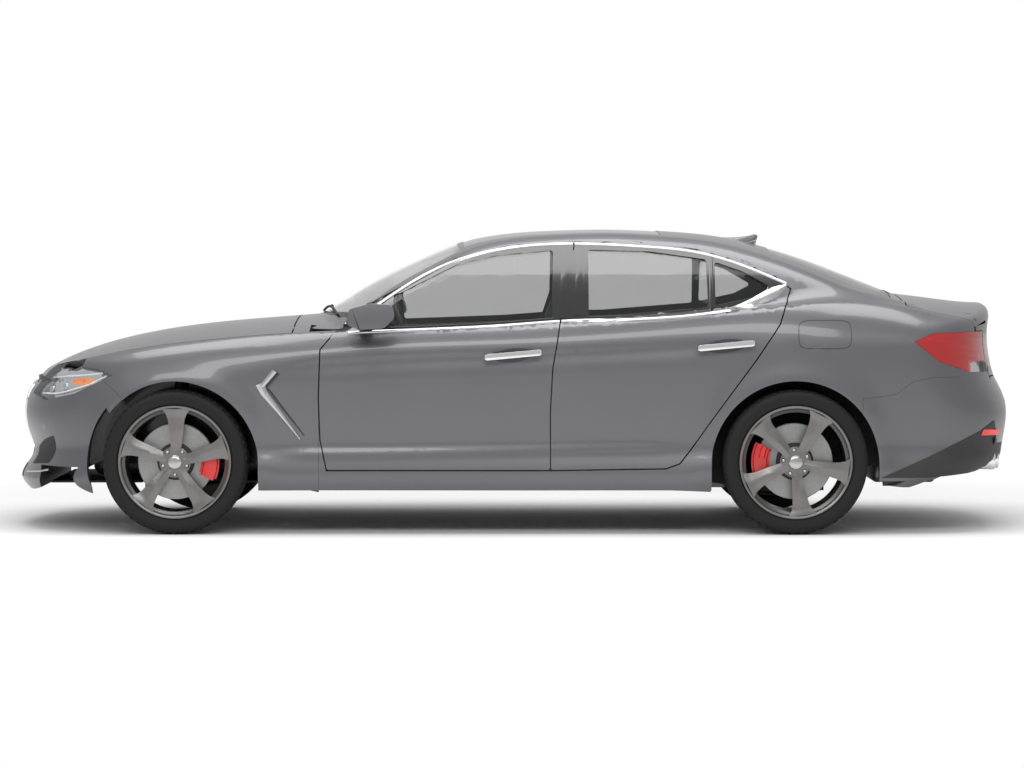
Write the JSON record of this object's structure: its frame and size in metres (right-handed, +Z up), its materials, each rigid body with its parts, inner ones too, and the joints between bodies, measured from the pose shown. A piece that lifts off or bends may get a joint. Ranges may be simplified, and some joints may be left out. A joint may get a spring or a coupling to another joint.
{
  "type": "sports sedan",
  "caption": "Four-door sports sedan with a long hood, panoramic glass roof, short rear deck, open wheel wells, hollow cabin, opening doors, hood and trunk lid, and steered wheels.",
  "frame": {"origin": "on the ground under the body's centre, midway between nose and tail", "axes": "+X to the tail, +Z up, -Y the car's left side; the nose looks to -X"},
  "size_m": [4.682, 2.104, 1.3959],
  "materials": {
    "body_paint": "grey metallic, gloss clear coat",
    "structure_paint": "dark satin primer",
    "glass": "tinted safety glass",
    "lamp_clear": "clear lamp cover",
    "lamp_red": "red lamp cover",
    "black_plastic": "gloss black trim",
    "grey_plastic": "grained dark plastic",
    "chrome": "bright trim",
    "wheel_alloy": "dark grey alloy with machined edges",
    "tyre": "black rubber",
    "running_gear": "dark castings and arms",
    "engine": "plain block for the engine and gearbox",
    "exhaust_steel": "dull stainless steel",
    "seat_leather": "black perforated leather",
    "cabin_trim": "soft grained black trim"
  },
  "bodies": {
    "chassis": {"body_glass": "glass", "body_shell": "body_paint", "dashboard": "cabin_trim", "diffuser": "grey_plastic", "engine_block": "engine", "exhaust": "exhaust_steel", "front_axle": "running_gear", "front_bumper": "body_paint", "front_fenders": "body_paint", "front_seats": "seat_leather", "grille": "black_plastic", "headlamps": "lamp_clear", "rear_axle": "running_gear", "rear_bumper": "body_paint", "rear_seat": "seat_leather", "tail_lamps": "lamp_red", "undertray": "grey_plastic"},
    "hood": {"hood": "body_paint"},
    "trunk_lid": {"trunk_lid": "body_paint", "lid_lamps": "lamp_red"},
    "front_door_left": {"front_door_left": "body_paint", "front_glass_left": "glass", "front_handle_left": "chrome", "mirror_left": "body_paint"},
    "front_door_right": {"front_door_right": "body_paint", "front_glass_right": "glass", "front_handle_right": "chrome", "mirror_right": "body_paint"},
    "rear_door_left": {"rear_door_left": "body_paint", "rear_glass_left": "glass", "rear_handle_left": "chrome"},
    "rear_door_right": {"rear_door_right": "body_paint", "rear_glass_right": "glass", "rear_handle_right": "chrome"},
    "knuckle_left": {"front_knuckle_left": "running_gear"},
    "knuckle_right": {"front_knuckle_right": "running_gear"},
    "wheel_front_left": {"tyre_front_left": "tyre", "rim_front_left": "wheel_alloy"},
    "wheel_front_right": {"tyre_front_right": "tyre", "rim_front_right": "wheel_alloy"},
    "wheel_rear_left": {"tyre_rear_left": "tyre", "rim_rear_left": "wheel_alloy"},
    "wheel_rear_right": {"tyre_rear_right": "tyre", "rim_rear_right": "wheel_alloy"},
    "steering_wheel": {"steering_wheel": "cabin_trim"}
  },
  "joints": [
    {"name": "steer_left", "type": "hinge", "parent": "chassis", "child": "knuckle_left", "pos_m": [-1.54, -0.7375, 0.331], "axis": [0, 0, 1], "range_deg": [-32, 32]},
    {"name": "steer_right", "type": "hinge", "parent": "chassis", "child": "knuckle_right", "pos_m": [-1.54, 0.7375, 0.331], "axis": [0, 0, 1], "range_deg": [-32, 32]},
    {"name": "spin_front_left", "type": "hinge", "parent": "knuckle_left", "child": "wheel_front_left", "pos_m": [-1.54, -0.7975, 0.331], "axis": [0, 1, 0], "continuous": true},
    {"name": "spin_front_right", "type": "hinge", "parent": "knuckle_right", "child": "wheel_front_right", "pos_m": [-1.54, 0.7975, 0.331], "axis": [0, 1, 0], "continuous": true},
    {"name": "spin_rear_left", "type": "hinge", "parent": "chassis", "child": "wheel_rear_left", "pos_m": [1.295, -0.802, 0.331], "axis": [0, 1, 0], "continuous": true},
    {"name": "spin_rear_right", "type": "hinge", "parent": "chassis", "child": "wheel_rear_right", "pos_m": [1.295, 0.802, 0.331], "axis": [0, 1, 0], "continuous": true},
    {"name": "open_front_left", "type": "hinge", "parent": "chassis", "child": "front_door_left", "pos_m": [-0.889, -0.906, 0.6], "axis": [0, 0, -1], "range_deg": [0, 66]},
    {"name": "open_front_right", "type": "hinge", "parent": "chassis", "child": "front_door_right", "pos_m": [-0.889, 0.906, 0.6], "axis": [0, 0, 1], "range_deg": [0, 66]},
    {"name": "open_rear_left", "type": "hinge", "parent": "chassis", "child": "rear_door_left", "pos_m": [0.17, -0.912, 0.6], "axis": [0, 0, -1], "range_deg": [0, 64]},
    {"name": "open_rear_right", "type": "hinge", "parent": "chassis", "child": "rear_door_right", "pos_m": [0.17, 0.912, 0.6], "axis": [0, 0, 1], "range_deg": [0, 64]},
    {"name": "open_hood", "type": "hinge", "parent": "chassis", "child": "hood", "pos_m": [-1.008, 0, 0.988], "axis": [0, 1, 0], "range_deg": [0, 52]},
    {"name": "open_trunk", "type": "hinge", "parent": "chassis", "child": "trunk_lid", "pos_m": [1.814, 0, 1.098], "axis": [0, -1, 0], "range_deg": [0, 78]},
    {"name": "turn_steering_wheel", "type": "hinge", "parent": "chassis", "child": "steering_wheel", "pos_m": [-0.49, -0.37, 0.9004], "axis": [0.922, 0, 0.3872], "range_deg": [-460, 460]}
  ],
  "couplings": [
    {"joint": "steer_right", "follows": "steer_left", "ratio": 1},
    {"joint": "turn_steering_wheel", "follows": "steer_left", "ratio": 14}
  ]
}
